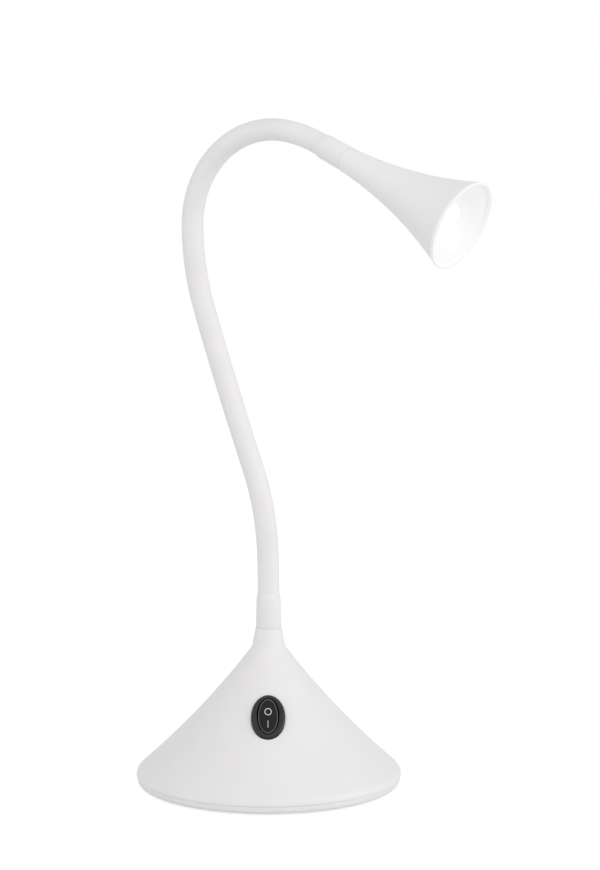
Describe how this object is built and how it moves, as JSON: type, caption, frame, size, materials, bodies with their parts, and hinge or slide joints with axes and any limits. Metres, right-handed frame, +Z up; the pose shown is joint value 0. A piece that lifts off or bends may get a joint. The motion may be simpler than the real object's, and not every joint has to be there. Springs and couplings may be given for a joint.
{
  "type": "gooseneck desk lamp",
  "caption": "Small white desk lamp: weighted conical base with an oval rocker switch, a bendable gooseneck arm and a trumpet-shaped head with a round LED lens.",
  "frame": {"origin": "centre of the foot pad's underside, on the table", "axes": "+Z up along the base's axis; the switch faces -Y and the cord inlet faces +Y; the head leans out towards +X and -Y"},
  "size_m": [0.1631, 0.138, 0.3136],
  "materials": {
    "white_shell": "white moulded plastic with a fine satin grain",
    "white_plate": "white moulded plastic, satin",
    "white_sleeve": "white soft sleeve, matte",
    "reflector_white": "white reflector, satin gloss",
    "lens_opal": "opal diffuser, lit",
    "switch_dark": "charcoal moulded plastic, satin",
    "rocker_dark": "near-black moulded plastic, satin",
    "steel": "plain steel",
    "ballast_iron": "raw casting",
    "blade_brass": "stamped",
    "board_green": "solder mask on laminate",
    "core_dark": "ferrite and tape",
    "can_grey": "sleeved can",
    "terminal_plastic": "moulded",
    "lead_skin": "flexible insulation",
    "bush_rubber": "white moulded rubber",
    "pad_rubber": "foam-backed rubber",
    "sink_metal": "turned and milled",
    "led_white": "white solder mask on metal core",
    "phosphor": "phosphor under silicone"
  },
  "bodies": {
    "base": {"base_cone": "white_shell", "base_plate": "white_plate", "foot_pad": "pad_rubber", "base_screws": "steel", "ballast": "ballast_iron", "driver_board": "board_green", "board_screws": "steel", "transformer": "core_dark", "capacitor": "can_grey", "terminal_block": "terminal_plastic", "cord_bush": "bush_rubber", "base_lead": "lead_skin", "lower_ferrule": "steel", "neck_washer": "steel", "neck_nut": "steel", "switch_housing": "switch_dark", "switch_terminals": "blade_brass", "arm_sleeve_0": "white_sleeve", "arm_hose_0": "steel", "arm_lead_0": "lead_skin"},
    "rocker": {"switch_rocker": "rocker_dark"},
    "neck_1": {"arm_sleeve_1": "white_sleeve", "arm_hose_1": "steel", "arm_lead_1": "lead_skin"},
    "neck_2": {"arm_sleeve_2": "white_sleeve", "arm_hose_2": "steel", "arm_lead_2": "lead_skin"},
    "neck_3": {"arm_sleeve_3": "white_sleeve", "arm_hose_3": "steel", "arm_lead_3": "lead_skin"},
    "neck_4": {"arm_sleeve_4": "white_sleeve", "arm_hose_4": "steel", "arm_lead_4": "lead_skin"},
    "neck_5": {"arm_sleeve_5": "white_sleeve", "arm_hose_5": "steel", "arm_lead_5": "lead_skin"},
    "neck_6": {"arm_sleeve_6": "white_sleeve", "arm_hose_6": "steel", "arm_lead_6": "lead_skin"},
    "head": {"arm_sleeve_7": "white_sleeve", "arm_hose_7": "steel", "arm_lead_7": "lead_skin", "upper_ferrule": "steel", "head_washer": "steel", "head_nut": "steel", "head_shell": "white_shell", "reflector": "reflector_white", "lens": "lens_opal", "heat_sink": "sink_metal", "led_board": "led_white", "led_chip": "phosphor", "led_screws": "steel", "head_lead": "lead_skin"}
  },
  "joints": [
    {"name": "bend_1", "type": "hinge", "parent": "base", "child": "neck_1", "pos_m": [-0.00042, 0.00027, 0.11232], "axis": [0.549, 0.8358, 0], "range_deg": [-25, 25]},
    {"name": "sway_2", "type": "hinge", "parent": "neck_1", "child": "neck_2", "pos_m": [-0.00737, 0.00484, 0.1505], "axis": [0.7766, -0.5101, 0.3697], "range_deg": [-25, 25]},
    {"name": "bend_3", "type": "hinge", "parent": "neck_2", "child": "neck_3", "pos_m": [-0.01921, 0.01262, 0.18712], "axis": [0.549, 0.8358, 0], "range_deg": [-25, 25]},
    {"name": "sway_4", "type": "hinge", "parent": "neck_3", "child": "neck_4", "pos_m": [-0.03033, 0.01992, 0.22405], "axis": [0.7903, -0.5191, 0.3256], "range_deg": [-25, 25]},
    {"name": "bend_5", "type": "hinge", "parent": "neck_4", "child": "neck_5", "pos_m": [-0.03577, 0.0235, 0.26259], "axis": [0.549, 0.8358, 0], "range_deg": [-25, 25]},
    {"name": "sway_6", "type": "hinge", "parent": "neck_5", "child": "neck_6", "pos_m": [-0.02261, 0.01485, 0.29723], "axis": [0.5472, -0.3595, -0.7559], "range_deg": [-25, 25]},
    {"name": "bend_7", "type": "hinge", "parent": "neck_6", "child": "head", "pos_m": [0.00791, -0.0052, 0.30805], "axis": [0.549, 0.8358, 0], "range_deg": [-25, 25]},
    {"name": "rocker_tilt", "type": "hinge", "parent": "base", "child": "rocker", "pos_m": [0, -0.02899, 0.03741], "axis": [-1, 0, 0], "range_deg": [0, 18]}
  ]
}
